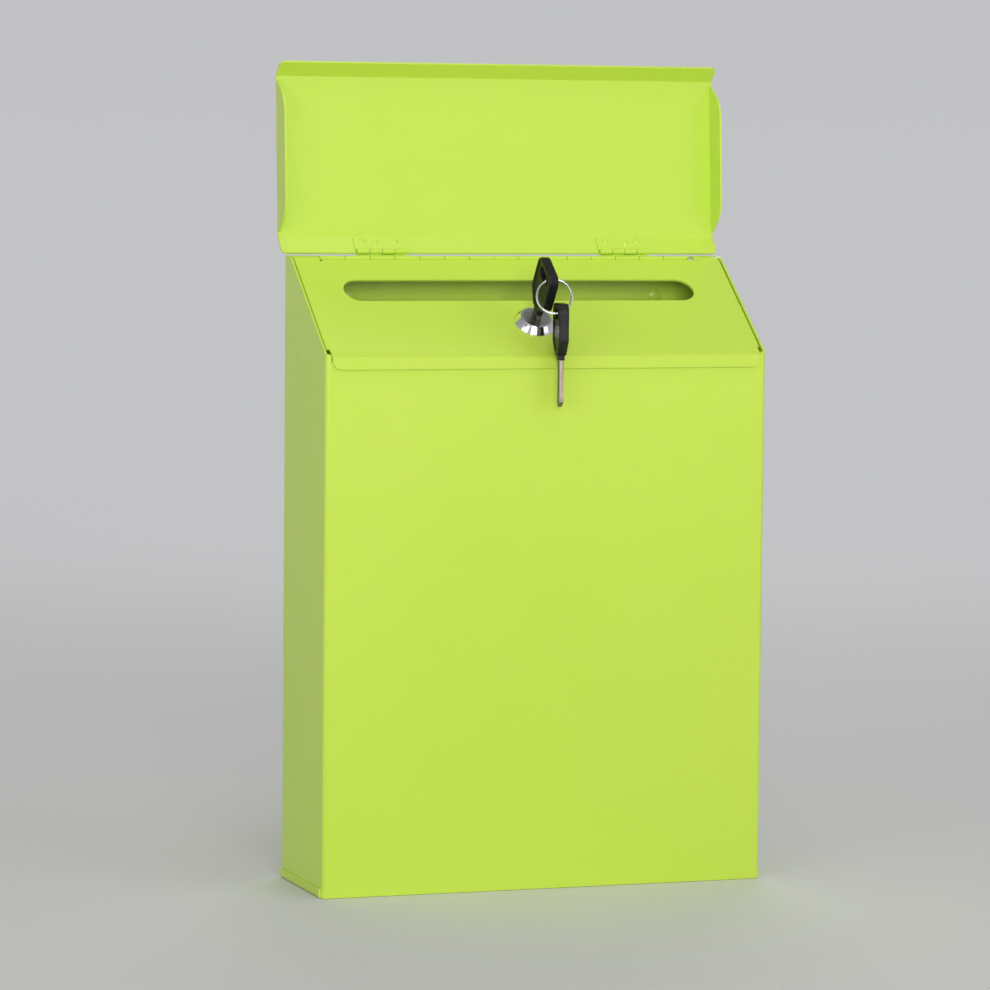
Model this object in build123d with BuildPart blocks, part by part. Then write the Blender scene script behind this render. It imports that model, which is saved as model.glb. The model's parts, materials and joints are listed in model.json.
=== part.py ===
import os
from math import atan2, cos, sin

from build123d import *

# Sheet-steel letter box for a wall: a folded body, a sloping front lid with a
# letter slot and a cam lock, and a rain flap that stands open above the lid.
#
# Frame: millimetres, +Z up, the front faces -Y and +X is to the right.  The
# origin is at the middle of the back's lower edge, on the plane of the wall.
# Rest pose: flap open, lid shut but not locked, one key in the lock, and the
# spare key hanging from it on the ring.

# ---------------------------------------------------------------- dimensions
# Body
body_width = 220.0
body_depth = 67.0
back_height = 298.5
front_height = 253.5
sheet = 1.0
bend = 2.0               # outer radius of a fold
strip_depth = 8.5        # near-level strip along the top of the back
strip_drop = 1.0         # how far that strip falls towards the front
seam_height = 4.3        # bottom panel's tabs, outside the side walls
seam_setback = 3.0       # from the front face to the start of those tabs
back_flange = 10.0
back_flange_top = 290.0
back_top_drop = 0.5      # back panel's top edge, below the body's highest line
back_end_top = 294.8     # its lower shoulders, below the lid's rear strip

# Wall holes
wall_hole_radius = 2.5
wall_hole_spacing_x = 156.0
wall_hole_spacing_z = 240.0
wall_hole_middle_z = 159.0

# Lid
lid_gap = 0.6            # to each side wall
lid_rear_gap = 1.3       # from the rear plane
lid_lip = 5.4            # height of the lip over the front panel
lid_lip_gap = 0.3
lid_lip_inset = 3.1      # from the body's side to the end of the lip
lid_lip_corner = 4.5
lid_return = 6.0         # turned-down side edges
lid_return_start = 8.0   # along the slope, from its top
lid_return_end = 61.0
notch_width = 191.0      # gap in the rear strip, for the hinge
notch_past_fold = 1.2
notch_relief = 1.0
strike_depth = 12.0      # front panel's top edge, turned inwards
strike_gap = 0.55        # below the lid's underside
strike_inset = 2.8
corner_relief = 3.5

# Letter slot
slot_length = 177.0
slot_width = 16.0
slot_down_slope = 24.8
slot_across = -1.1       # to the left of the lid's middle

# Lid hinge, along the notch
lid_hinge_length = 188.0
lid_hinge_knuckles = 15
lid_knuckle_radius = 1.3
lid_pin_radius = 0.65
lid_leaf = 0.7
lid_leaf_lap = 9.0       # under the slope
lid_leaf_drop = 7.0     # down the back panel

# Rain flap, described as it lies when shut
flap_width = 223.0
flap_open_angle = 130.5  # from shut to the rest pose
flap_strip_front = 10.2  # hinge axis to the first fold
flap_strip_rear = -0.3   # past the axis; the strip ends just short of it
flap_main = 76.6
flap_lip = 9.8
flap_wing_depth = 13.2
flap_wing_start = 2.3    # from the first fold
flap_wing_end = 2.2      # from the lip
flap_wing_taper = 9.5
flap_wing_corner = 14.0
flap_corner = 3.0

# Flap hinges
flap_hinge_places = (-62.0, 62.0)
flap_hinge_length = 25.4
flap_hinge_knuckles = 4
flap_axis_y = -0.22
flap_axis_rise = 1.87    # above the body's highest line
flap_knuckle_radius = 1.35
flap_pin_radius = 0.7
flap_leaf = 0.8
flap_leaf_reach = 9.6
back_leaf_reach = 15.6
leaf_lift = 0.15         # leaf's outer face beyond the knuckle's top
rivet_offsets = (-8.4, -2.2, 8.0)
rivet_stagger = 0.9
rivet_shank = 1.1
rivet_head = 1.7
rivet_rise = 0.7
flap_rivet_reach = 7.0
back_rivet_reach = 12.6

# Hinge fits
running_gap = 0.05       # pin in a turning knuckle
knuckle_gap = 0.3        # between neighbouring knuckles
sweep_gap = 0.35         # between a leaf and the other leaf's knuckles

# Lock
lock_down_slope = 49.5
lock_across = -0.9       # to the left of the lid's middle
bezel_base_radius = 10.3
bezel_face_radius = 7.5
bezel_rise = 3.6
barrel_radius = 8.0
barrel_flats = 14.0
barrel_length = 18.0
barrel_fit = 0.1
plug_radius = 5.6
plug_head_radius = 6.2
plug_head = 1.0
plug_fit = 0.05
tail_width = 6.0
keyway_width = 2.3
keyway_height = 7.3
keyway_floor = 0.6       # beyond the key's tip
washer_radius = 10.4
washer = 0.8
nut_across_flats = 20.0
nut = 3.0
wafer_count = 5
wafer = 0.7
wafer_width = 4.4
wafer_height = 10.4
wafer_gap = 0.12
wafer_window_gap = 0.15
wafer_pitch = 2.4
wafer_first = 4.6        # below the lid's face
cam = 2.0
cam_width = 13.0
cam_tip_width = 9.0
cam_reach = 26.0
cam_crank = 7.0
cam_crank_start = 8.5
cam_crank_run = 6.0
cam_gap = 0.2
screw_radius = 2.0
screw_head_radius = 4.2
screw_head = 2.0
screw_length = 4.6
screw_clearance = 0.3

# Keys
key_in_height = 7.0      # key's shoulder above the lid, with the key pushed in
blade_length = 22.0
blade_width = 7.0
blade = 2.0
blade_root = 9.0         # part of the blade inside the bow
blade_tip = 2.2
blade_groove = 0.45
blade_groove_width = 1.6
cut_depths = (1.3, 2.0, 0.8, 1.7, 1.1)
cut_first = 4.0
cut_pitch = 3.2
neck_length = 2.3
neck_half_width = 3.2
neck = 3.0
bow_length = 24.4
bow_width = 20.6
bow = 4.7
bow_shoulder = 6.4
bow_far_corner = 4.2
bow_near_corner = 2.0
bow_rim = 1.9
bow_recess = 0.55
bow_edge = 0.6
eye_length = 9.8
eye_width = 5.0
eye_inset = 4.9          # eye's middle from the bow's far end

# Ring and spare key
ring_radius = 8.25
ring_wire = 0.6
ring_in_eye = 3.5        # down the slope from the key's own axis
ring_tilt = 17.0
ring_turn = 15.0
ring_lean = 15.0         # how far round the ring has slipped in the eye
spare_along_ring = 3.0
spare_turn = -11.0
spare_gap = 1.32         # between the spare key's eye and the ring

# ------------------------------------------------------------ derived places
slope_run = body_depth - strip_depth
slope_top_z = back_height - strip_drop
slope_angle = atan2(slope_top_z - front_height, slope_run)
down_y = -cos(slope_angle)
down_z = -sin(slope_angle)
out_y = -sin(slope_angle)
out_z = cos(slope_angle)


def lid_point(down, out=0.0):
    """Y and Z of a point on the lid's centre line, by distance down the slope."""
    y = -strip_depth + down * down_y + out * out_y
    z = slope_top_z + down * down_z + out * out_z
    return (y, z)


def side_plane(x=0.0):
    """Drawing plane whose axes are the world's Y and Z."""
    return Plane(origin=(x, 0, 0), x_dir=(0, 1, 0), z_dir=(1, 0, 0))


def slope_z(y):
    """Height of the slope's outer face at a given Y."""
    return slope_top_z + (y + strip_depth) * down_z / down_y


def lengthwise(plane):
    """Plane through a piece's axis: the piece's own X, and its axis upwards."""
    return Plane(origin=plane.origin, x_dir=plane.x_dir, z_dir=-plane.y_dir)


def edgewise(plane):
    """Plane through a piece's axis: the piece's own Y, and its axis upwards."""
    return Plane(origin=plane.origin, x_dir=plane.y_dir, z_dir=plane.x_dir)


inner_width = body_width - 2 * sheet
top_outline = [
    (1.0, back_height),
    (0, back_height),
    (-strip_depth, slope_top_z),
    (-body_depth, front_height),
    (-body_depth - 1.0, front_height),
    (-body_depth - 1.0, back_height + 10),
    (1.0, back_height + 10),
]

lid_plane = Plane(
    origin=(0, -strip_depth, slope_top_z),
    x_dir=(1, 0, 0),
    z_dir=(0, out_y, out_z),
)
lock_y, lock_z = lid_point(lock_down_slope)
lock_plane = Plane(
    origin=(lock_across, lock_y, lock_z),
    x_dir=(1, 0, 0),
    z_dir=(0, out_y, out_z),
)

lid_axis_y = -sheet - lid_knuckle_radius - 0.05
lid_axis_z = back_height - 0.2 - lid_knuckle_radius

flap_axis_z = back_height + flap_axis_rise
flap_frame = Plane(origin=(0, flap_axis_y, flap_axis_z)).rotated((-flap_open_angle, 0, 0))


def flap_side_plane(x=0.0):
    """Plane through the flap's axis: its first axis points to the rear when shut."""
    middle = flap_frame.from_local_coords(Vector(x, 0, 0))
    return Plane(origin=middle, x_dir=flap_frame.y_dir, z_dir=flap_frame.x_dir)


def rivet_spots(place, reach, stagger):
    """Places of one leaf's three rivets: along the hinge, and out from its axis."""
    hand = 1 if place > 0 else -1
    spots = []
    for number, along in enumerate(rivet_offsets):
        low = stagger if number == 1 else 0
        spots.append((place - hand * along, low - reach))
    return spots


def finish(part, name):
    """Label a finished piece and write its file."""
    part.label = name
    export_step(part, f"parts/{name}.step")


os.makedirs("parts", exist_ok=True)

# --------------------------------------------------------------------- body
# Front and sides are one sheet, folded at the two front corners.  The front
# panel's top edge is turned inwards and is what the lock's cam hooks under.
strike_top = slope_z(-body_depth) - sheet / out_z - strike_gap
strike_half = body_width / 2 - strike_inset

with BuildPart() as body_shell:
    with BuildSketch(Plane.XY):
        with BuildLine():
            half = body_width / 2
            outer = FilletPolyline(
                (-half, 0), (-half, -body_depth), (half, -body_depth), (half, 0), radius=bend
            )
            offset(outer, amount=sheet, side=Side.LEFT)
        make_face()
    extrude(amount=back_height)
    with BuildSketch(side_plane()):
        with BuildLine():
            Polyline(*top_outline, close=True)
        make_face()
    extrude(amount=body_width, both=True, mode=Mode.SUBTRACT)
    # Front panel cut down between its corners, for the turned-in top edge
    with BuildSketch(Plane.XZ.offset(body_depth + 1)):
        with Locations((0, strike_top - bend)):
            Rectangle(2 * strike_half, 40, align=(Align.CENTER, Align.MIN))
    extrude(amount=-sheet - bend - 2, mode=Mode.SUBTRACT)
    with BuildSketch(side_plane()):
        with BuildLine():
            edge = FilletPolyline(
                (-body_depth, strike_top - bend),
                (-body_depth, strike_top),
                (-body_depth + strike_depth, strike_top),
                radius=bend - 0.01,
            )
            offset(edge, amount=sheet, side=Side.RIGHT)
        make_face()
    extrude(amount=strike_half, both=True)
    # Side walls stand on the bottom panel
    with BuildSketch(Plane.XY):
        with Locations((0, -body_depth + sheet)):
            Rectangle(body_width + 2, body_depth + 2, align=(Align.CENTER, Align.MIN))
    extrude(amount=sheet, mode=Mode.SUBTRACT)
finish(body_shell.part, "body_shell")

# The bottom panel is a tray: its side tabs are turned up outside the walls.
with BuildPart() as bottom_panel:
    tab_half = body_width / 2 + sheet
    with BuildSketch(Plane.XZ):
        with BuildLine():
            tray = FilletPolyline(
                (-tab_half, seam_height), (-tab_half, 0), (tab_half, 0), (tab_half, seam_height),
                radius=sheet,
            )
            offset(tray, amount=sheet, side=Side.LEFT, kind=Kind.INTERSECTION)
        make_face()
    extrude(amount=body_depth - sheet)
    # Tabs stop short of the front face and the floor fits between the walls
    with BuildSketch(Plane.XY):
        with Locations((-tab_half, -body_depth), (tab_half, -body_depth)):
            Rectangle(2 * sheet, 2 * seam_setback)
    extrude(amount=seam_height, mode=Mode.SUBTRACT)
finish(bottom_panel.part, "bottom_panel")

# The back panel has side flanges inside the walls and four wall holes.
with BuildPart() as back_panel:
    with BuildSketch(Plane.XY.offset(sheet)):
        with BuildLine():
            half = inner_width / 2
            back = FilletPolyline(
                (-half, -back_flange), (-half, 0), (half, 0), (half, -back_flange), radius=bend
            )
            offset(back, amount=sheet, side=Side.RIGHT)
        make_face()
    extrude(amount=back_height - back_top_drop - sheet)
    # Flanges stop below the lid
    with BuildSketch(Plane.XY.offset(back_flange_top)):
        with Locations((0, -sheet)):
            Rectangle(inner_width + 2, back_flange, align=(Align.CENTER, Align.MAX))
    extrude(amount=back_height, mode=Mode.SUBTRACT)
    # Lower shoulders clear the ends of the lid's rear strip
    with BuildSketch(Plane.XY.offset(back_end_top)):
        shoulder = (body_width - notch_width) / 2
        with Locations((-body_width / 2, 0), (body_width / 2, 0)):
            Rectangle(2 * shoulder, 6 * sheet)
    extrude(amount=back_height, mode=Mode.SUBTRACT)
    with BuildSketch(Plane.XZ.offset(-1)):
        with Locations((0, wall_hole_middle_z)):
            with GridLocations(wall_hole_spacing_x, wall_hole_spacing_z, 2, 2):
                Circle(wall_hole_radius)
    extrude(amount=sheet + 2, mode=Mode.SUBTRACT)
    # Rivet holes for the flap's hinges
    with BuildSketch(Plane.XZ.offset(-1)):
        with Locations((0, flap_axis_z)):
            for place in flap_hinge_places:
                with Locations(*rivet_spots(place, back_rivet_reach, -rivet_stagger)):
                    Circle(rivet_shank)
    extrude(amount=sheet + 2, mode=Mode.SUBTRACT)
finish(back_panel.part, "back_panel")

# ---------------------------------------------------------------------- lid
lid_half = inner_width / 2 - lid_gap
lip_half = body_width / 2 - lid_lip_inset
lip_y = -body_depth - lid_lip_gap - sheet
lip_top_z = slope_z(lip_y)
lip_bottom_z = lip_top_z - lid_lip
rear_z = slope_top_z + (strip_depth - lid_rear_gap) * strip_drop / strip_depth

with BuildPart() as lid:
    with BuildSketch(side_plane()):
        with BuildLine():
            shape = FilletPolyline(
                (-lid_rear_gap, rear_z),
                (-strip_depth, slope_top_z),
                (lip_y, lip_top_z),
                (lip_y, lip_bottom_z),
                radius=bend,
            )
            offset(shape, amount=sheet, side=Side.LEFT)
        make_face()
    extrude(amount=lid_half, both=True)
    # Side edges turned down inside the walls
    with BuildSketch(side_plane(-lid_half)):
        with BuildLine():
            Polyline(
                lid_point(lid_return_start, -sheet / 2),
                lid_point(lid_return_end, -sheet / 2),
                lid_point(lid_return_end, -sheet),
                lid_point(lid_return_end - lid_return, -lid_return),
                lid_point(lid_return_start + lid_return, -lid_return),
                lid_point(lid_return_start, -sheet),
                close=True,
            )
        make_face()
    extrude(amount=sheet)
    mirror(about=Plane.YZ)
    # Round the folded side edges
    long_edges = (
        lid.edges()
        .filter_by(lambda e: abs(abs(e.center().X) - lid_half) < 0.01)
        .filter_by(lambda e: (e @ 0.5 - Vector(e.center().X, *lid_point(35))).length < 12)
        .filter_by(lambda e: e.length > 40)
    )
    fillet(long_edges, radius=sheet * 0.8)
    # Lip shorter than the slope, with round lower corners
    with BuildSketch(Plane.XZ.offset(body_depth + 4)):
        Rectangle(body_width + 10, 2 * lip_top_z)
        with Locations((0, lip_top_z - 0.2)):
            Rectangle(body_width + 10, 40, align=(Align.CENTER, Align.MIN), mode=Mode.SUBTRACT)
        with Locations((0, lip_bottom_z)):
            RectangleRounded(
                2 * lip_half, 60, lid_lip_corner, align=(Align.CENTER, Align.MIN),
                mode=Mode.SUBTRACT,
            )
    extrude(amount=-4 - lid_lip_gap + 0.01, mode=Mode.SUBTRACT)
    # Corner reliefs beside the fold
    with BuildSketch(lid_plane):
        relief_y = corner_relief / 2 - slope_run / out_z
        with Locations((-lid_half, relief_y), (lid_half, relief_y)):
            Rectangle(2 * (lid_half - lip_half), corner_relief * 2)
    extrude(amount=3, both=True, mode=Mode.SUBTRACT)
    # Notch for the hinge, with round reliefs in its corners
    with BuildSketch(Plane.XY.offset(slope_top_z - 8)):
        notch_front = -strip_depth - notch_past_fold
        with Locations((0, notch_front)):
            Rectangle(notch_width, 30, align=(Align.CENTER, Align.MIN))
        with Locations((-notch_width / 2, notch_front), (notch_width / 2, notch_front)):
            Circle(notch_relief)
    extrude(amount=20, mode=Mode.SUBTRACT)
    # Letter slot
    with BuildSketch(lid_plane):
        with Locations((slot_across, -slot_down_slope)):
            SlotOverall(slot_length, slot_width)
    extrude(amount=3, both=True, mode=Mode.SUBTRACT)
    # Lock hole with two flats
    with BuildSketch(lock_plane):
        Circle(barrel_radius + barrel_fit)
        Rectangle(barrel_flats + 2 * barrel_fit, 30, mode=Mode.INTERSECT)
    extrude(amount=3, both=True, mode=Mode.SUBTRACT)
finish(lid.part, "lid")

# ---------------------------------------------------------------- lid hinge
# A long hinge in the notch: one leaf down the back panel, one under the slope.
lid_knuckle_pitch = lid_hinge_length / lid_hinge_knuckles


def knuckle_middles(count, pitch, first):
    """Middles of every second knuckle of a hinge, along its axis."""
    return [(number - (count - 1) / 2) * pitch for number in range(first, count, 2)]


def add_knuckles(middles, width, radius, origin, mode=Mode.ADD):
    """Add or cut cylinders along X, one at each middle."""
    for middle in middles:
        with BuildSketch(Plane.YZ.offset(middle - width / 2)) as knuckle:
            with Locations(origin):
                Circle(radius)
        extrude(knuckle.sketch, amount=width, mode=mode)


lid_axis = (lid_axis_y, lid_axis_z)
fixed_knuckles = knuckle_middles(lid_hinge_knuckles, lid_knuckle_pitch, 0)
moving_knuckles = knuckle_middles(lid_hinge_knuckles, lid_knuckle_pitch, 1)
lid_knuckle_width = lid_knuckle_pitch - knuckle_gap

with BuildPart() as lid_hinge_fixed_leaf:
    with BuildSketch(Plane.XZ.offset(sheet)):
        with Locations((0, lid_axis_z)):
            Rectangle(lid_hinge_length, lid_leaf_drop, align=(Align.CENTER, Align.MAX))
    extrude(amount=lid_leaf)
    gap_width = lid_knuckle_pitch + knuckle_gap
    add_knuckles(
        moving_knuckles, gap_width, lid_knuckle_radius + sweep_gap, lid_axis, Mode.SUBTRACT
    )
    add_knuckles(fixed_knuckles, lid_knuckle_width, lid_knuckle_radius, lid_axis)
    add_knuckles([0], lid_hinge_length + 1, lid_pin_radius, lid_axis, Mode.SUBTRACT)
finish(lid_hinge_fixed_leaf.part, "lid_hinge_fixed_leaf")

under_fold_y, under_fold_z = lid_point(0.9, -sheet)
with BuildPart() as lid_hinge_moving_leaf:
    with BuildSketch(side_plane()):
        with BuildLine():
            top = Polyline(
                (lid_axis_y, lid_axis_z - lid_knuckle_radius + lid_leaf),
                (under_fold_y, under_fold_z),
                lid_point(0.9 + lid_leaf_lap, -sheet),
            )
            offset(top, amount=lid_leaf, side=Side.LEFT, kind=Kind.INTERSECTION)
        make_face()
    extrude(amount=lid_hinge_length / 2, both=True)
    gap_width = lid_knuckle_pitch + knuckle_gap
    add_knuckles(
        fixed_knuckles, gap_width, lid_knuckle_radius + sweep_gap, lid_axis, Mode.SUBTRACT
    )
    add_knuckles(moving_knuckles, lid_knuckle_width, lid_knuckle_radius, lid_axis)
    add_knuckles(
        [0], lid_hinge_length + 1, lid_pin_radius + running_gap, lid_axis, Mode.SUBTRACT
    )
finish(lid_hinge_moving_leaf.part, "lid_hinge_moving_leaf")

with BuildPart() as lid_hinge_pin:
    add_knuckles([0], lid_hinge_length, lid_pin_radius, lid_axis)
finish(lid_hinge_pin.part, "lid_hinge_pin")

# ---------------------------------------------------------------- rain flap
# Drawn shut, in the flap's own plane: strip, main panel, lip and two wings.
flap_inner = flap_knuckle_radius + leaf_lift
fold_place = (-flap_strip_front, flap_inner)


def flap_point(along, inwards=0.0):
    """Point on the main panel's inner face, by distance from the first fold."""
    y = fold_place[0] + along * down_y - inwards * out_y
    z = fold_place[1] + along * down_z - inwards * out_z
    return (y, z)


lip_fold = flap_point(flap_main)

with BuildPart() as rain_flap:
    with BuildSketch(flap_side_plane()):
        with BuildLine():
            inner = FilletPolyline(
                (flap_strip_rear, flap_inner),
                fold_place,
                lip_fold,
                (lip_fold[0], lip_fold[1] - flap_lip),
                radius=bend - sheet,
            )
            offset(inner, amount=sheet, side=Side.RIGHT)
        make_face()
    extrude(amount=flap_width / 2, both=True)
    # Rear corners of the strip and lower corners of the lip are round
    corner_edges = (
        rain_flap.edges()
        .filter_by(lambda e: abs(e.length - sheet) < 0.01)
        .filter_by(lambda e: abs(abs(e.center().X) - flap_width / 2) < 0.01)
    )
    fillet(corner_edges, radius=flap_corner)
    # Wings, folded in along the main panel's sides
    for side in (-1, 1):
        start = flap_width / 2 - sheet if side > 0 else -flap_width / 2
        with BuildSketch(flap_side_plane(start)):
            near = flap_wing_start
            far = flap_main - flap_wing_end
            with BuildLine():
                Polyline(
                    flap_point(near, -sheet / 2),
                    flap_point(near, 1.0),
                    flap_point(near + flap_wing_taper, flap_wing_depth),
                    flap_point(far - flap_wing_taper, flap_wing_depth),
                    flap_point(far, 1.0),
                    flap_point(far, -sheet / 2),
                    close=True,
                )
            make_face()
        extrude(amount=sheet)
    wing_middle = flap_side_plane().from_local_coords(
        Vector(*flap_point(flap_main / 2, flap_wing_depth), 0)
    )
    wing_corners = (
        rain_flap.edges()
        .filter_by(lambda e: abs(e.length - sheet) < 0.01)
        .filter_by(lambda e: abs(abs(e.center().X) - (flap_width / 2 - sheet / 2)) < 0.01)
        .filter_by(
            lambda e: abs(
                (e.center() - wing_middle).dot(flap_frame.y_dir * out_y + flap_frame.z_dir * out_z)
            ) < 0.5
        )
    )
    fillet(wing_corners, radius=flap_wing_corner)
    # Rivet holes in the strip
    with BuildSketch(flap_frame):
        for place in flap_hinge_places:
            with Locations(*rivet_spots(place, flap_rivet_reach, rivet_stagger)):
                Circle(rivet_shank)
    extrude(amount=10, mode=Mode.SUBTRACT)
finish(rain_flap.part, "rain_flap")

# -------------------------------------------------------------- flap hinges
flap_pitch = flap_hinge_length / flap_hinge_knuckles
flap_knuckle_width = flap_pitch - knuckle_gap
flap_gap_width = flap_pitch + knuckle_gap
flap_axis = (flap_axis_y, flap_axis_z)


for place in flap_hinge_places:
    name = "left" if place < 0 else "right"
    ours = [place + x for x in knuckle_middles(flap_hinge_knuckles, flap_pitch, 0)]
    theirs = [place + x for x in knuckle_middles(flap_hinge_knuckles, flap_pitch, 1)]
    # Leaf on the flap: its outer face lies on the strip's inner face
    with BuildPart() as flap_hinge_leaf:
        with BuildSketch(flap_frame.offset(flap_inner - flap_leaf)):
            with Locations((place, 0)):
                Rectangle(flap_hinge_length, flap_leaf_reach, align=(Align.CENTER, Align.MAX))
            with Locations(*rivet_spots(place, flap_rivet_reach, rivet_stagger)):
                Circle(rivet_shank, mode=Mode.SUBTRACT)
        extrude(amount=flap_leaf)
        add_knuckles(
            theirs, flap_gap_width, flap_knuckle_radius + sweep_gap, flap_axis, Mode.SUBTRACT
        )
        add_knuckles(ours, flap_knuckle_width, flap_knuckle_radius, flap_axis)
        add_knuckles(
            [place], flap_hinge_length + 1, flap_pin_radius + running_gap, flap_axis,
            Mode.SUBTRACT,
        )
    finish(flap_hinge_leaf.part, f"flap_hinge_{name}_flap_leaf")
    # Leaf on the rear face of the back panel
    with BuildPart() as back_hinge_leaf:
        with BuildSketch(Plane.XZ.offset(-flap_leaf)):
            with Locations((place, flap_axis_z)):
                Rectangle(flap_hinge_length, back_leaf_reach, align=(Align.CENTER, Align.MAX))
            with Locations((0, flap_axis_z)):
                with Locations(*rivet_spots(place, back_rivet_reach, -rivet_stagger)):
                    Circle(rivet_shank, mode=Mode.SUBTRACT)
        extrude(amount=flap_leaf)
        add_knuckles(
            ours, flap_gap_width, flap_knuckle_radius + sweep_gap, flap_axis, Mode.SUBTRACT
        )
        add_knuckles(theirs, flap_knuckle_width, flap_knuckle_radius, flap_axis)
        add_knuckles(
            [place], flap_hinge_length + 1, flap_pin_radius, flap_axis, Mode.SUBTRACT
        )
    finish(back_hinge_leaf.part, f"flap_hinge_{name}_back_leaf")
    with BuildPart() as flap_hinge_pin:
        add_knuckles([place], flap_hinge_length, flap_pin_radius, flap_axis)
    finish(flap_hinge_pin.part, f"flap_hinge_{name}_pin")


def add_rivet(plane, grip):
    """One rivet: a round head below the plane, its shank, and a flat tail."""
    half_plane = Plane(plane.origin, x_dir=plane.x_dir, z_dir=plane.x_dir.cross(plane.z_dir))
    with BuildSketch(half_plane) as half_section:
        with BuildLine():
            head = ThreePointArc((0, -rivet_rise), (rivet_head * 0.72, -rivet_rise * 0.6),
                                 (rivet_head, 0))
            Polyline(head @ 1, (rivet_shank, 0), (rivet_shank, grip), (rivet_head * 0.9, grip),
                     (rivet_head * 0.75, grip + rivet_rise * 0.6), (0, grip + rivet_rise * 0.6),
                     head @ 0)
        make_face()
    revolve(half_section.sketch, axis=Axis(plane.origin, plane.z_dir))


with BuildPart() as flap_leaf_rivets:
    for place in flap_hinge_places:
        for x, y in rivet_spots(place, flap_rivet_reach, rivet_stagger):
            foot = flap_frame.from_local_coords(Vector(x, y, flap_inner - flap_leaf))
            add_rivet(Plane(foot, x_dir=(1, 0, 0), z_dir=flap_frame.z_dir), flap_leaf + sheet)
finish(flap_leaf_rivets.part, "flap_leaf_rivets")

with BuildPart() as back_leaf_rivets:
    for place in flap_hinge_places:
        for x, y in rivet_spots(place, back_rivet_reach, -rivet_stagger):
            foot = Vector(x, flap_leaf, flap_axis_z + y)
            add_rivet(Plane(foot, x_dir=(1, 0, 0), z_dir=(0, -1, 0)), flap_leaf + sheet)
finish(back_leaf_rivets.part, "back_leaf_rivets")

# --------------------------------------------------------------------- lock
# Everything on the lock is placed from lock_plane: +Z out of the lid, +Y up
# the slope.
lock_axis = Axis(lock_plane.origin, lock_plane.z_dir)
barrel_bottom = -barrel_length
plug_bottom = barrel_bottom - cam_gap
key_tip = key_in_height - blade_length

with BuildPart() as lock_housing:
    with BuildSketch(lengthwise(lock_plane)):
        with BuildLine():
            Polyline((0, 0), (bezel_base_radius, 0), (bezel_base_radius, 0.5),
                     (bezel_face_radius, bezel_rise), (0, bezel_rise), close=True)
        make_face()
    revolve(axis=lock_axis)
    fillet(lock_housing.edges().group_by(lock_axis)[-1], radius=0.35)
    with BuildSketch(lock_plane):
        Circle(barrel_radius)
        Rectangle(barrel_flats, 30, mode=Mode.INTERSECT)
    extrude(amount=-barrel_length)
    with BuildSketch(lock_plane.offset(bezel_rise)):
        Circle(plug_head_radius + plug_fit)
    extrude(amount=-plug_head - plug_fit, mode=Mode.SUBTRACT)
    with BuildSketch(lock_plane.offset(bezel_rise)):
        Circle(plug_radius + plug_fit)
    extrude(amount=-bezel_rise - barrel_length, mode=Mode.SUBTRACT)
finish(lock_housing.part, "lock_housing")

with BuildPart() as lock_plug:
    with BuildSketch(lock_plane.offset(bezel_rise - plug_head)):
        Circle(plug_head_radius)
    extrude(amount=plug_head)
    with BuildSketch(lock_plane.offset(plug_bottom)):
        Circle(plug_radius)
    extrude(amount=bezel_rise - plug_head - plug_bottom)
    with BuildSketch(lock_plane.offset(plug_bottom)):
        Rectangle(tail_width, tail_width)
    extrude(amount=-cam)
    with BuildSketch(lock_plane.offset(bezel_rise)):
        Rectangle(keyway_width, keyway_height)
    extrude(amount=key_tip - keyway_floor - bezel_rise, mode=Mode.SUBTRACT)
    for number in range(wafer_count):
        with BuildSketch(lock_plane.offset(-wafer_first + bezel_rise - number * wafer_pitch)):
            Rectangle(wafer_width + 2 * wafer_gap, wafer_height + 2 * wafer_gap)
        extrude(amount=-wafer - 2 * wafer_gap, mode=Mode.SUBTRACT)
    with BuildSketch(lock_plane.offset(plug_bottom - cam)):
        Circle(screw_radius)
    extrude(amount=screw_length - screw_clearance, mode=Mode.SUBTRACT)
finish(lock_plug.part, "lock_plug")

with BuildPart() as lock_wafers:
    for number in range(wafer_count):
        top = -wafer_first + bezel_rise - number * wafer_pitch - wafer_gap
        with BuildSketch(lock_plane.offset(top)):
            Rectangle(wafer_width, wafer_height)
            Rectangle(blade + 2 * wafer_window_gap, blade_width + 2 * wafer_window_gap,
                      mode=Mode.SUBTRACT)
        extrude(amount=-wafer)
finish(lock_wafers.part, "lock_wafers")

with BuildPart() as lock_washer:
    with BuildSketch(lock_plane.offset(-sheet)):
        Circle(washer_radius)
        Circle(barrel_radius, mode=Mode.SUBTRACT)
    extrude(amount=-washer)
finish(lock_washer.part, "lock_washer")

with BuildPart() as lock_nut:
    with BuildSketch(lock_plane.offset(-sheet - washer)):
        RegularPolygon(nut_across_flats / 2, 6, major_radius=False)
        Circle(barrel_radius, mode=Mode.SUBTRACT)
    extrude(amount=-nut)
finish(lock_nut.part, "lock_nut")

# The cam points to the left at rest; a quarter turn brings it down the slope.
with BuildPart() as lock_cam:
    with BuildSketch(lengthwise(lock_plane)):
        with BuildLine():
            step_1 = -cam_crank_start
            step_2 = step_1 - cam_crank_run
            arm = Polyline(
                (cam_width / 2, plug_bottom),
                (step_1, plug_bottom),
                (step_2, plug_bottom + cam_crank),
                (-cam_reach, plug_bottom + cam_crank),
            )
            offset(arm, amount=cam, side=Side.LEFT, kind=Kind.INTERSECTION)
        make_face()
    extrude(amount=cam_width / 2, both=True)
    with BuildSketch(lock_plane.offset(plug_bottom - cam - 1)):
        with BuildLine():
            Polyline((0, -cam_width / 2), (-cam_reach, -cam_tip_width / 2),
                     (-cam_reach, cam_tip_width / 2), (0, cam_width / 2), close=True)
        make_face()
        Circle(cam_width / 2)
    extrude(amount=cam_crank + cam + 2, mode=Mode.INTERSECT)
    with BuildSketch(lock_plane.offset(plug_bottom - cam - 1)):
        Rectangle(tail_width, tail_width)
    extrude(amount=cam + 2, mode=Mode.SUBTRACT)
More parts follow.
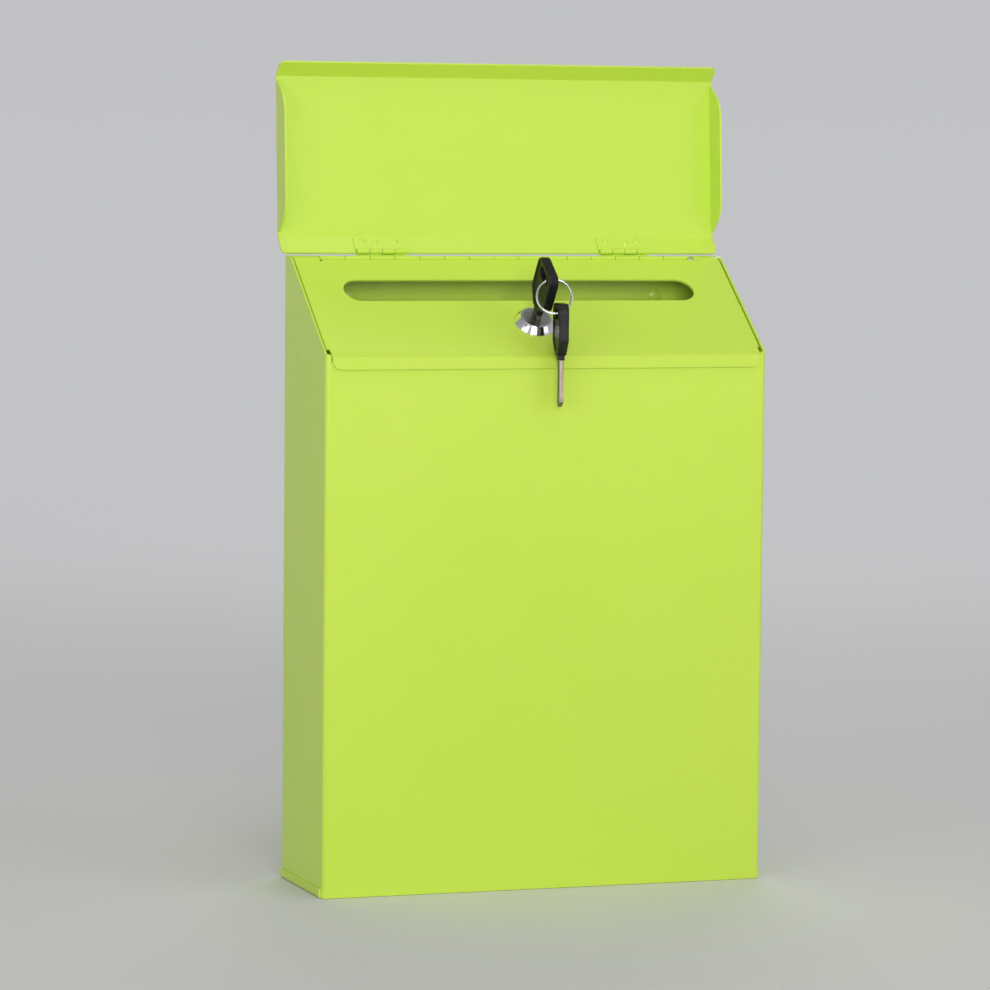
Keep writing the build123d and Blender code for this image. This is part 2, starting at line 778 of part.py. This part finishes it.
finish(lock_cam.part, "lock_cam")

with BuildPart() as cam_screw:
    with BuildSketch(lock_plane.offset(plug_bottom - cam)):
        Circle(screw_head_radius)
    extrude(amount=-screw_head)
    with BuildSketch(lock_plane.offset(plug_bottom - cam)):
        Circle(screw_radius)
    extrude(amount=screw_length - 2 * screw_clearance)
    with BuildSketch(lock_plane.offset(plug_bottom - cam - screw_head)):
        Rectangle(1.0, 2 * screw_head_radius - 2)
        Rectangle(2 * screw_head_radius - 2, 1.0)
    extrude(amount=screw_head * 0.6, mode=Mode.SUBTRACT)
finish(cam_screw.part, "cam_screw")

# --------------------------------------------------------------------- keys
# A key is drawn in its own plane: the shoulder is at the origin, +Z runs to
# the bow's far end, +Y across the bow, and +X through its thickness.


def bow_outline(plane, inset=0.0):
    """Outline of the bow in its own Y and Z, less an even margin."""
    half_width = bow_width / 2
    far = neck_length + bow_length
    with BuildSketch(edgewise(plane)) as outline:
        with BuildLine():
            Polyline(
                (-neck_half_width, neck_length),
                (-half_width, neck_length + bow_shoulder),
                (-half_width, far),
                (half_width, far),
                (half_width, neck_length + bow_shoulder),
                (neck_half_width, neck_length),
                close=True,
            )
        make_face()
        heights = outline.vertices().group_by(Axis.Y)
        fillet(heights[-1], radius=bow_far_corner)
        fillet(heights[1], radius=bow_near_corner)
        if inset:
            offset(amount=-inset)
    return outline.sketch


def cut_edge(half_width):
    """Cut side of the blade, from the shoulder to the last cut."""
    edge = [(half_width, 0)]
    for number, depth in enumerate(cut_depths):
        place = -cut_first - number * cut_pitch
        edge.append((half_width - 0.3, place + cut_pitch / 2 - 0.2))
        edge.append((half_width - depth, place + 0.35))
        edge.append((half_width - depth, place - 0.35))
    return edge


def make_blade(plane):
    """Key blade, with its cuts, grooves, pointed tip and the root in the bow."""
    half_width = blade_width / 2
    root = half_width - 1.5
    with BuildPart() as piece:
        with BuildSketch(edgewise(plane)) as side_view:
            with BuildLine():
                Polyline(
                    (root, blade_root),
                    (root, 0),
                    *cut_edge(half_width),
                    (half_width - 0.3, blade_tip - blade_length),
                    (0.6, -blade_length),
                    (-0.6, -blade_length),
                    (-half_width, blade_tip - blade_length),
                    (-half_width, 0),
                    (-root, 0),
                    (-root, blade_root),
                    close=True,
                )
            make_face()
        extrude(side_view.sketch, amount=blade / 2, both=True)
        with BuildSketch(plane.offset(-blade_length)) as grooves:
            with Locations((-blade / 2, -0.9), (blade / 2, -0.9)):
                Rectangle(2 * blade_groove, blade_groove_width)
        extrude(grooves.sketch, amount=blade_length - 0.5, mode=Mode.SUBTRACT)
    return piece.part


def make_bow(plane):
    """Moulded key head: raised rim, sunk faces, an eye, and the neck."""
    eye_middle = neck_length + bow_length - eye_inset
    side_plane_of_bow = edgewise(plane)
    floor = bow / 2 - bow_recess
    with BuildPart() as piece:
        extrude(bow_outline(plane), amount=bow / 2, both=True)
        axis_across = Axis(plane.origin, plane.x_dir)
        rims = piece.edges().group_by(axis_across)
        fillet(rims[0] + rims[-1], radius=bow_edge)
        well = bow_outline(plane, bow_rim)
        extrude(well.moved(Location(plane.x_dir * floor)), amount=bow, mode=Mode.SUBTRACT)
        extrude(well.moved(Location(plane.x_dir * -floor)), amount=-bow, mode=Mode.SUBTRACT)
        with BuildSketch(plane) as neck_section:
            Rectangle(neck, 2 * neck_half_width)
        extrude(neck_section.sketch, amount=neck_length + bow_rim)
        with BuildSketch(side_plane_of_bow) as boss:
            with Locations((0, eye_middle)):
                SlotOverall(eye_length + 2.4, eye_width + 2.4)
        extrude(boss.sketch, amount=bow / 2 - 0.1, both=True)
        with BuildSketch(side_plane_of_bow) as eye:
            with Locations((0, eye_middle)):
                SlotOverall(eye_length, eye_width)
        extrude(eye.sketch, amount=bow, both=True, mode=Mode.SUBTRACT)
        with BuildSketch(plane) as socket:
            Rectangle(blade, blade_width - 3)
        extrude(socket.sketch, amount=blade_root, mode=Mode.SUBTRACT)
    return piece.part


# The key in the lock stands on the lock's axis, with its bow in the plane
# that runs up and down the slope.
key_plane = lock_plane.offset(key_in_height)
finish(make_blade(key_plane), "key_blade")
finish(make_bow(key_plane), "key_bow")

# The ring passes through the key's eye and lies in its lower end.  Its own
# plane leans forward and is turned a little to the left.
eye_height = neck_length + bow_length - eye_inset
ring_top = key_plane.from_local_coords(Vector(0, -ring_in_eye, eye_height))
ring_along = Vector(1, 0, 0).rotate(Axis.Z, -ring_turn)
ring_down = Vector(0, 0, -1).rotate(Axis((0, 0, 0), ring_along), -ring_tilt)
ring_normal = ring_along.cross(ring_down)
ring_reach = ring_down.rotate(Axis((0, 0, 0), ring_normal), -ring_lean)
ring_centre = ring_top + ring_reach * ring_radius

with BuildPart() as key_ring:
    wire_place = Plane(ring_centre + ring_along * ring_radius, z_dir=ring_down)
    with BuildSketch(wire_place):
        Circle(ring_wire)
    revolve(axis=Axis(ring_centre, ring_normal))
finish(key_ring.part, "key_ring")

# The spare key hangs plumb on the ring, beside the first key's bow.
hang_drop = (ring_radius**2 - spare_along_ring**2) ** 0.5
hang_place = ring_centre + ring_along * spare_along_ring + ring_down * hang_drop
eye_top = eye_height + eye_width / 2
spare_height = eye_top - ring_wire - spare_gap
spare_across = Vector(1, 0, 0).rotate(Axis.Z, spare_turn)
spare_plane = Plane(
    origin=hang_place - Vector(0, 0, 1) * spare_height, x_dir=spare_across, z_dir=(0, 0, 1)
)
finish(make_blade(spare_plane), "spare_key_blade")
finish(make_bow(spare_plane), "spare_key_bow")
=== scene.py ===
"""Looks of the wall letter box: powder-coated sheet steel, chrome cam lock, keys on a split ring.

Lengths are metres in the frame of the CAD, where X runs across, Y to the back and Z up.
"""

import json
from math import cos, pi, radians, sin

import bmesh
import bpy
import numpy as np
from mathutils import Euler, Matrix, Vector


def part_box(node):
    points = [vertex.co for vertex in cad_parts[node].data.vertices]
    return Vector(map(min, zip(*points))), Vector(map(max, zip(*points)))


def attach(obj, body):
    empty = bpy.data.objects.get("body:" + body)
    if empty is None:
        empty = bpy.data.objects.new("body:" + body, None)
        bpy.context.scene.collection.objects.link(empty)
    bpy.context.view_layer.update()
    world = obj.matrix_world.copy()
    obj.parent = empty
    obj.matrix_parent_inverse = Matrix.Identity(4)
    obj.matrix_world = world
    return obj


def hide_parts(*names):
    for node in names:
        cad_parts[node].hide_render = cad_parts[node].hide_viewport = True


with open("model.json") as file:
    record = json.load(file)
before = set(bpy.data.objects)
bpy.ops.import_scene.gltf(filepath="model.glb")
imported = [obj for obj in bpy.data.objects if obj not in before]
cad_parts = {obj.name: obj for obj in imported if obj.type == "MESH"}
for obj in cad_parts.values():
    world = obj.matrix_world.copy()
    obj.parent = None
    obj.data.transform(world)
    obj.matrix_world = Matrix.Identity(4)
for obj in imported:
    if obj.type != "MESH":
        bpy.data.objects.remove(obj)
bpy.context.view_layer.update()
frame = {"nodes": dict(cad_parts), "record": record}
nodes = frame["nodes"]
scene = bpy.context.scene

# ---------------------------------------------------------------- camera and stage
LENS = 161.9  # mm, on a sensor of 36 mm
SENSOR = 36.0
CAMERA_PLACE = (-0.7086, -2.0366, 0.3489)
CAMERA_TURN = (85.579, -0.534, -19.057)  # degrees

SKY_LOW = (0.60, 0.605, 0.62, 1)
SKY_HIGH = (0.26, 0.265, 0.28, 1)
SKY_HIGH_FROM = 0.95  # height on the unit sphere where the sky reaches SKY_HIGH
SKY_STRENGTH = 0.9

FLOOR_PLACE = (0, -0.03, -0.0002)
FLOOR_RADIUS = 14.0
FLOOR_COLOUR = (0.70, 0.695, 0.685, 1)
FLOOR_ROUGHNESS = 0.85
FLOOR_FADE = (0.35, 2.6)  # distances from its middle where the floor starts and ends fading

FRONT = (0, -0.05, 0.2)  # points of the body that the lights aim at
MIDDLE = (0, -0.03, 0.15)
WHITE = (1.0, 1.0, 1.0)
# name: place, aim, side of the square, watts, colour
LIGHTS = {
    "key_light": ((-0.55, -2.75, 0.75), FRONT, 1.1, 28.5, (1.0, 0.99, 0.97)),
    "left_light": ((-1.9, -1.6, 0.7), FRONT, 1.3, 7.0, (0.98, 0.99, 1.0)),
    "right_light": ((1.9, -1.9, 1.1), FRONT, 1.3, 6.0, WHITE),
    "top_light": ((0.0, -0.7, 2.3), MIDDLE, 1.3, 9.0, WHITE),
    "rear_light": ((0.9, 2.2, 1.3), MIDDLE, 1.4, 13.0, WHITE),
}


def add_camera():
    data = bpy.data.cameras.new("camera")
    data.lens = LENS
    data.sensor_width = SENSOR
    data.clip_start = 0.05
    data.clip_end = 60.0
    camera = bpy.data.objects.new("camera", data)
    camera.location = CAMERA_PLACE
    camera.rotation_euler = Euler([radians(a) for a in CAMERA_TURN], "XYZ")
    scene.collection.objects.link(camera)
    scene.camera = camera


def add_area(name, place, aim, side, power, colour):
    data = bpy.data.lights.new(name, "AREA")
    data.shape = "SQUARE"
    data.size = side
    data.energy = power
    data.color = colour
    light = bpy.data.objects.new(name, data)
    light.location = place
    direction = Vector(aim) - Vector(place)
    light.rotation_euler = direction.to_track_quat("-Z", "Y").to_euler()
    scene.collection.objects.link(light)


def build_world():
    """A grey sky, paler at the horizon."""
    world = bpy.data.worlds.new("studio")
    world.use_nodes = True
    scene.world = world
    tree = world.node_tree
    tree.nodes.clear()
    out = tree.nodes.new("ShaderNodeOutputWorld")
    background = tree.nodes.new("ShaderNodeBackground")
    place = tree.nodes.new("ShaderNodeTexCoord")
    split = tree.nodes.new("ShaderNodeSeparateXYZ")
    ramp = tree.nodes.new("ShaderNodeValToRGB")
    low, high = ramp.color_ramp.elements
    low.position = 0.0
    low.color = SKY_LOW
    high.position = SKY_HIGH_FROM
    high.color = SKY_HIGH
    tree.links.new(place.outputs["Generated"], split.inputs[0])
    tree.links.new(split.outputs["Z"], ramp.inputs[0])
    tree.links.new(ramp.outputs[0], background.inputs["Color"])
    background.inputs["Strength"].default_value = SKY_STRENGTH
    tree.links.new(background.outputs[0], out.inputs[0])


def build_floor():
    """A pale round floor that turns transparent towards its rim."""
    mesh = bpy.data.meshes.new("floor")
    work = bmesh.new()
    bmesh.ops.create_circle(work, cap_ends=True, segments=96, radius=FLOOR_RADIUS)
    work.to_mesh(mesh)
    work.free()
    floor = bpy.data.objects.new("floor", mesh)
    floor.location = FLOOR_PLACE
    scene.collection.objects.link(floor)
    material = bpy.data.materials.new("pale_floor")
    material.use_nodes = True
    tree = material.node_tree
    shader = tree.nodes["Principled BSDF"]
    shader.inputs["Base Color"].default_value = FLOOR_COLOUR
    shader.inputs["Roughness"].default_value = FLOOR_ROUGHNESS
    place = tree.nodes.new("ShaderNodeTexCoord")
    reach = tree.nodes.new("ShaderNodeVectorMath")
    reach.operation = "LENGTH"
    fade = tree.nodes.new("ShaderNodeMapRange")
    fade.interpolation_type = "SMOOTHSTEP"
    fade.inputs["From Min"].default_value, fade.inputs["From Max"].default_value = FLOOR_FADE
    clear = tree.nodes.new("ShaderNodeBsdfTransparent")
    mix = tree.nodes.new("ShaderNodeMixShader")
    tree.links.new(place.outputs["Object"], reach.inputs[0])
    tree.links.new(reach.outputs["Value"], fade.inputs["Value"])
    tree.links.new(fade.outputs[0], mix.inputs[0])
    tree.links.new(shader.outputs[0], mix.inputs[1])
    tree.links.new(clear.outputs[0], mix.inputs[2])
    tree.links.new(mix.outputs[0], tree.nodes["Material Output"].inputs[0])
    mesh.materials.append(material)


scene.view_settings.view_transform = "Standard"
scene.view_settings.look = "None"
add_camera()
build_world()
build_floor()
for light_name, values in LIGHTS.items():
    add_area(light_name, *values)


# ---------------------------------------------------------------- materials
class Finish:
    """A principled material with a few helpers for its procedural inputs."""

    def __init__(self, name, colour, metallic=0.0, roughness=0.4):
        self.material = bpy.data.materials.new(name)
        self.material.use_nodes = True
        self.tree = self.material.node_tree
        self.shader = self.tree.nodes["Principled BSDF"]
        self.shader.inputs["Base Color"].default_value = (*colour, 1)
        self.shader.inputs["Metallic"].default_value = metallic
        self.shader.inputs["Roughness"].default_value = roughness
        self.place = self.tree.nodes.new("ShaderNodeTexCoord").outputs["Object"]

    def node(self, kind, **values):
        made = self.tree.nodes.new(kind)
        for name, value in values.items():
            made.inputs[name].default_value = value
        return made

    def link(self, source, target):
        self.tree.links.new(source, target)

    def stretched(self, scale):
        mapping = self.node("ShaderNodeMapping", Scale=scale)
        self.link(self.place, mapping.inputs["Vector"])
        return mapping.outputs[0]

    def noise(self, scale, detail=3.0, where=None):
        made = self.node("ShaderNodeTexNoise", Scale=scale, Detail=detail, Roughness=0.5)
        self.link(where or self.place, made.inputs["Vector"])
        return made.outputs["Fac"]

    def spread(self, value, low, high):
        """A noise's middle values, 0.3 to 0.7, spread over low to high."""
        made = self.node("ShaderNodeMapRange")
        made.inputs["From Min"].default_value = 0.3
        made.inputs["From Max"].default_value = 0.7
        made.inputs["To Min"].default_value = low
        made.inputs["To Max"].default_value = high
        self.link(value, made.inputs["Value"])
        return made.outputs[0]

    def colours(self, value, first, second):
        made = self.tree.nodes.new("ShaderNodeMix")
        made.data_type = "RGBA"
        made.inputs["A"].default_value = (*first, 1)
        made.inputs["B"].default_value = (*second, 1)
        self.link(value, made.inputs["Factor"])
        self.link(made.outputs["Result"], self.shader.inputs["Base Color"])

    def rough(self, value):
        self.link(value, self.shader.inputs["Roughness"])

    def bump(self, height, strength, distance, under=None):
        made = self.node("ShaderNodeBump", Strength=strength, Distance=distance)
        self.link(height, made.inputs["Height"])
        if under:
            self.link(under, made.inputs["Normal"])
        self.link(made.outputs[0], self.shader.inputs["Normal"])
        return made.outputs[0]


def powder_coat():
    """Lime paint: a faint drift of colour, a soft gloss and a fine orange peel."""
    f = Finish("powder_coat_lime", (0.60, 0.82, 0.078))
    f.colours(f.spread(f.noise(9.0), 0.0, 1.0), (0.595, 0.815, 0.074), (0.612, 0.828, 0.084))
    f.rough(f.spread(f.noise(60.0, 4.0), 0.30, 0.38))
    f.shader.inputs["Coat Weight"].default_value = 0.10
    f.shader.inputs["Coat Roughness"].default_value = 0.22
    broad = f.bump(f.noise(420.0, 2.0), 0.10, 0.0006)
    f.bump(f.noise(1500.0, 2.0), 0.10, 0.0002, under=broad)
    return f.material


def chrome():
    f = Finish("chrome_plate", (0.80, 0.80, 0.82), 1.0, 0.07)
    f.rough(f.spread(f.noise(900.0), 0.05, 0.12))
    f.bump(f.noise(500.0, 2.0), 0.03, 0.0003)
    return f.material


def plated(name, colour, low, high, grain):
    """Plated metal: roughness from low to high along its grain, and slightly darker patches."""
    f = Finish(name, colour, 1.0, (low + high) / 2)
    streak = f.noise(1.0, 4.0, where=f.stretched(grain))
    f.rough(f.spread(streak, low, high))
    darker = tuple(0.82 * c for c in colour)
    f.colours(f.spread(f.noise(260.0, 4.0), 0.0, 1.0), colour, darker)
    f.bump(streak, 0.12, 0.0002)
    return f.material


def black_plastic():
    f = Finish("moulded_black", (0.009, 0.009, 0.0095), 0.0, 0.42)
    f.shader.inputs["Specular IOR Level"].default_value = 0.28
    f.colours(f.spread(f.noise(300.0), 0.0, 1.0), (0.007, 0.007, 0.0075), (0.012, 0.012, 0.0125))
    f.rough(f.spread(f.noise(700.0), 0.34, 0.50))
    f.bump(f.noise(2600.0, 2.0), 0.25, 0.00015)
    return f.material


FINISHES = {
    "powder_coat": powder_coat(),
    "chrome": chrome(),
    "nickel": plated("nickel_plate", (0.27, 0.235, 0.195), 0.34, 0.52, (2600, 2600, 300)),
    "zinc_steel": plated("zinc_plate", (0.60, 0.61, 0.62), 0.26, 0.44, (300, 1800, 1800)),
    "brass": plated("plain_brass", (0.72, 0.56, 0.28), 0.22, 0.38, (900, 900, 900)),
    "black_plastic": black_plastic(),
}
node_slots = {p["node"]: p["material_slot"] for p in frame["record"]["subparts"]}
node_bodies = {n: b for b, names in frame["record"]["behaviour"]["bodies"].items() for n in names}

# ---------------------------------------------------------------- sizes of the drawn pieces
# Millimetres by which each node's edges are eased
EASES = {
    "body_shell": 0.22, "back_panel": 0.22, "bottom_panel": 0.22, "lid": 0.22, "rain_flap": 0.22,
    "flap_hinge_left_flap_leaf": 0.12, "flap_hinge_right_flap_leaf": 0.12,
    "flap_hinge_left_back_leaf": 0.12, "flap_hinge_right_back_leaf": 0.12,
    "lid_hinge_fixed_leaf": 0.1, "lid_hinge_moving_leaf": 0.1,
    "lock_housing": 0.15, "lock_plug": 0.1, "lock_nut": 0.25, "lock_washer": 0.1, "lock_cam": 0.2,
    "key_blade": 0.08, "spare_key_blade": 0.08,
}
EASED_FROM = radians(28)  # edges that turn by more than this are eased
SHARP_FROM = radians(40)  # and edges that turn by more than this are shaded as edges

SHEET = 0.001
FOLD_INSIDE = 0.0019  # radius inside the rain flap's side folds
FOLD_OUTSIDE = 0.0028  # asked for outside them, see wing_folds
FOLD_LENGTH = 0.06  # edges are taken if they are longer than this
FOLD_REACH = 2e-5  # and both their ends lie this near to the planes of the flap's sides

MOULD_VOXEL = 0.00022
MOULD_ROUNDS = 10

WIRE = 0.00058  # thickness along the key ring's axis of one turn of its wire
RING_TURNS = 2.0
RING_START = 2.4  # angle of the cut ends, in radians
RING_JOG = 0.015  # half the share of the wire in which one turn crosses to the other
RING_STEPS = 160
RING_SIDES = 14

PLUG_SIDES = 32
PLUG_SEAT = -0.00101  # just clear of the back panel's inner face


# ---------------------------------------------------------------- pieces from CAD shapes
def add_piece(name, mesh, body, slot, replaced=(), finish=None):
    piece = bpy.data.objects.new(name, mesh)
    scene.collection.objects.link(piece)
    mesh.materials.clear()
    mesh.materials.append(finish or FINISHES[slot])
    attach(piece, body)
    if replaced:
        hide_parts(*replaced)
    return piece


def eased(node, width, folded=None, finish=None):
    """The node's own shape, with its edges rounded as paint or polishing leaves them."""
    mesh = nodes[node].data.copy()
    mesh.name = node + "_eased"
    work = bmesh.new()
    work.from_mesh(mesh)
    bmesh.ops.remove_doubles(work, verts=work.verts, dist=2e-6)
    bmesh.ops.dissolve_limit(work, angle_limit=radians(0.6), verts=work.verts, edges=work.edges)
    if folded:
        folded(work)
    work.to_mesh(mesh)
    work.free()
    mesh.shade_smooth()
    mesh.set_sharp_from_angle(angle=SHARP_FROM)
    piece = add_piece(node + "_eased", mesh, node_bodies[node], node_slots[node], (node,), finish)
    bevel = piece.modifiers.new("edges", "BEVEL")
    bevel.width = width
    bevel.segments = 2
    bevel.limit_method = "ANGLE"
    bevel.angle_limit = EASED_FROM
    bevel.miter_outer = "MITER_ARC"
    bevel.harden_normals = True
    bevel.use_clamp_overlap = True


def wing_folds(work):
    """Round the flap's side folds, which are bent and not welded.

    The outside set also takes the edges that run right across the flap. Their short steps clamp
    its bevel to about 0.02 mm, so only the inside of the folds is rounded visibly.
    """
    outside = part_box("rain_flap")[1][0]
    for across, radius in ((outside - SHEET, FOLD_INSIDE), (outside, FOLD_OUTSIDE)):
        edges = [
            e for e in work.edges
            if e.calc_length() > FOLD_LENGTH
            and all(abs(abs(v.co.x) - across) < FOLD_REACH for v in e.verts)
        ]
        bmesh.ops.bevel(
            work, geom=edges, offset=radius, offset_type="OFFSET", segments=6,
            profile=0.5, affect="EDGES", clamp_overlap=True,
        )


def moulded(node):
    """The node's shape with its edges softened as a mould leaves them."""
    mesh = nodes[node].data.copy()
    piece = add_piece(node + "_moulded", mesh, node_bodies[node], node_slots[node], (node,))
    remesh = piece.modifiers.new("skin", "REMESH")
    remesh.mode = "VOXEL"
    remesh.voxel_size = MOULD_VOXEL
    remesh.use_smooth_shade = True
    smooth = piece.modifiers.new("soften", "SMOOTH")
    smooth.factor = 0.5
    smooth.iterations = MOULD_ROUNDS


# ---------------------------------------------------------------- pieces drawn anew
def join_rings(work, rings):
    """Faces between neighbouring rings of points. A ring of one point is a tip."""
    for first, second in zip(rings, rings[1:]):
        sides = max(len(first), len(second))
        for k in range(sides):
            n = (k + 1) % sides
            if len(first) == 1:
                work.faces.new((first[0], second[k], second[n]))
            elif len(second) == 1:
                work.faces.new((first[k], first[n], second[0]))
            else:
                work.faces.new((first[k], first[n], second[n], second[k]))


def finished_mesh(work, name, sharp):
    """The mesh of work, shaded smooth apart from edges that turn by more than sharp degrees."""
    bmesh.ops.recalc_face_normals(work, faces=work.faces)
    mesh = bpy.data.meshes.new(name)
    work.to_mesh(mesh)
    work.free()
    mesh.shade_smooth()
    mesh.set_sharp_from_angle(angle=radians(sharp))
    return mesh


def ring_frame():
    """Centre, axis and radius of the key ring, from its node's own points."""
    points = np.array([v.co for v in nodes["key_ring"].data.vertices], float)
    centre = (points.max(0) + points.min(0)) / 2
    _, _, axes = np.linalg.svd(points - points.mean(0), full_matrices=False)
    flat = (points - centre) - np.outer((points - centre) @ axes[2], axes[2])
    reach = np.linalg.norm(flat, axis=1)
    return Vector(centre), Vector(axes[2]), (reach.max() + reach.min()) / 2


def split_ring():
    """A ring of two touching turns of wire, with cut ends."""
    centre, axis, radius = ring_frame()
    across = axis.orthogonal().normalized()
    beyond = axis.cross(across)
    half_wide, half_high = WIRE * 0.95, WIRE / 2 * 0.98
    turns = [2 * pi * side / RING_SIDES for side in range(RING_SIDES)]
    work = bmesh.new()
    rings = []
    for step in range(RING_STEPS + 1):
        share = step / RING_STEPS
        angle = 2 * pi * RING_TURNS * share + RING_START
        # The two turns lie side by side, and cross over in a short jog
        level = max(-1, min(1, (share - 0.5) / RING_JOG))
        out = across * cos(angle) + beyond * sin(angle)
        middle = centre + out * radius + axis * (WIRE / 2 * level)
        rings.append([
            work.verts.new(middle + out * (half_wide * cos(turn)) + axis * (half_high * sin(turn)))
            for turn in turns
        ])
    join_rings(work, rings)
    work.faces.new(rings[0][::-1])
    work.faces.new(rings[-1])
    mesh = finished_mesh(work, "split_ring", 50)
    wire = plated("ring_wire", (0.72, 0.71, 0.69), 0.14, 0.26, (900, 900, 900))
    add_piece("split_ring", mesh, "ring", "nickel", ("key_ring",), wire)


def hole_plugs():
    """Low domed plugs snapped into the four wall holes from inside the box."""
    mount = next(m for m in frame["record"]["mounts"] if m["name"] == "wall_holes")
    dims = mount["dims"]
    hole = dims["hole_r_mm"] / 1000
    # Reach and depth along the outline: dome, flange, shank through the hole, snap head
    profile = [
        (0, -0.0018), (0.0014, -0.0017), (0.0024, -0.00142), (0.003, -0.0011),
        (0.003, PLUG_SEAT), (hole * 0.97, PLUG_SEAT),
        (hole * 0.97, 0.0002), (hole * 0.8, 0.0006), (0, 0.0006),
    ]
    angles = [2 * pi * k / PLUG_SIDES for k in range(PLUG_SIDES)]
    work = bmesh.new()
    for across in (-0.5, 0.5):
        for up in (-0.5, 0.5):
            middle = Vector((
                mount["pos_m"][0] + across * dims["spacing_x_mm"] / 1000, 0,
                mount["pos_m"][2] + up * dims["spacing_y_mm"] / 1000,
            ))
            rings = []
            for reach, depth in profile:
                rings.append([
                    work.verts.new(middle + Vector((reach * cos(a), depth, reach * sin(a))))
                    for a in (angles if reach else angles[:1])
                ])
            join_rings(work, rings)
    mesh = finished_mesh(work, "wall_hole_plugs", 45)
    add_piece("wall_hole_plugs", mesh, "body", "powder_coat")


for name, slot in node_slots.items():
    nodes[name].data.materials.clear()
    nodes[name].data.materials.append(FINISHES[slot])
plug_steel = plated("plug_steel", (0.42, 0.43, 0.43), 0.24, 0.36, (1400, 1400, 1400))
for name, width in EASES.items():
    eased(
        name, width / 1000,
        folded=wing_folds if name == "rain_flap" else None,
        finish=plug_steel if name == "lock_plug" else None,
    )
for name in ("key_bow", "spare_key_bow"):
    moulded(name)
split_ring()
hole_plugs()
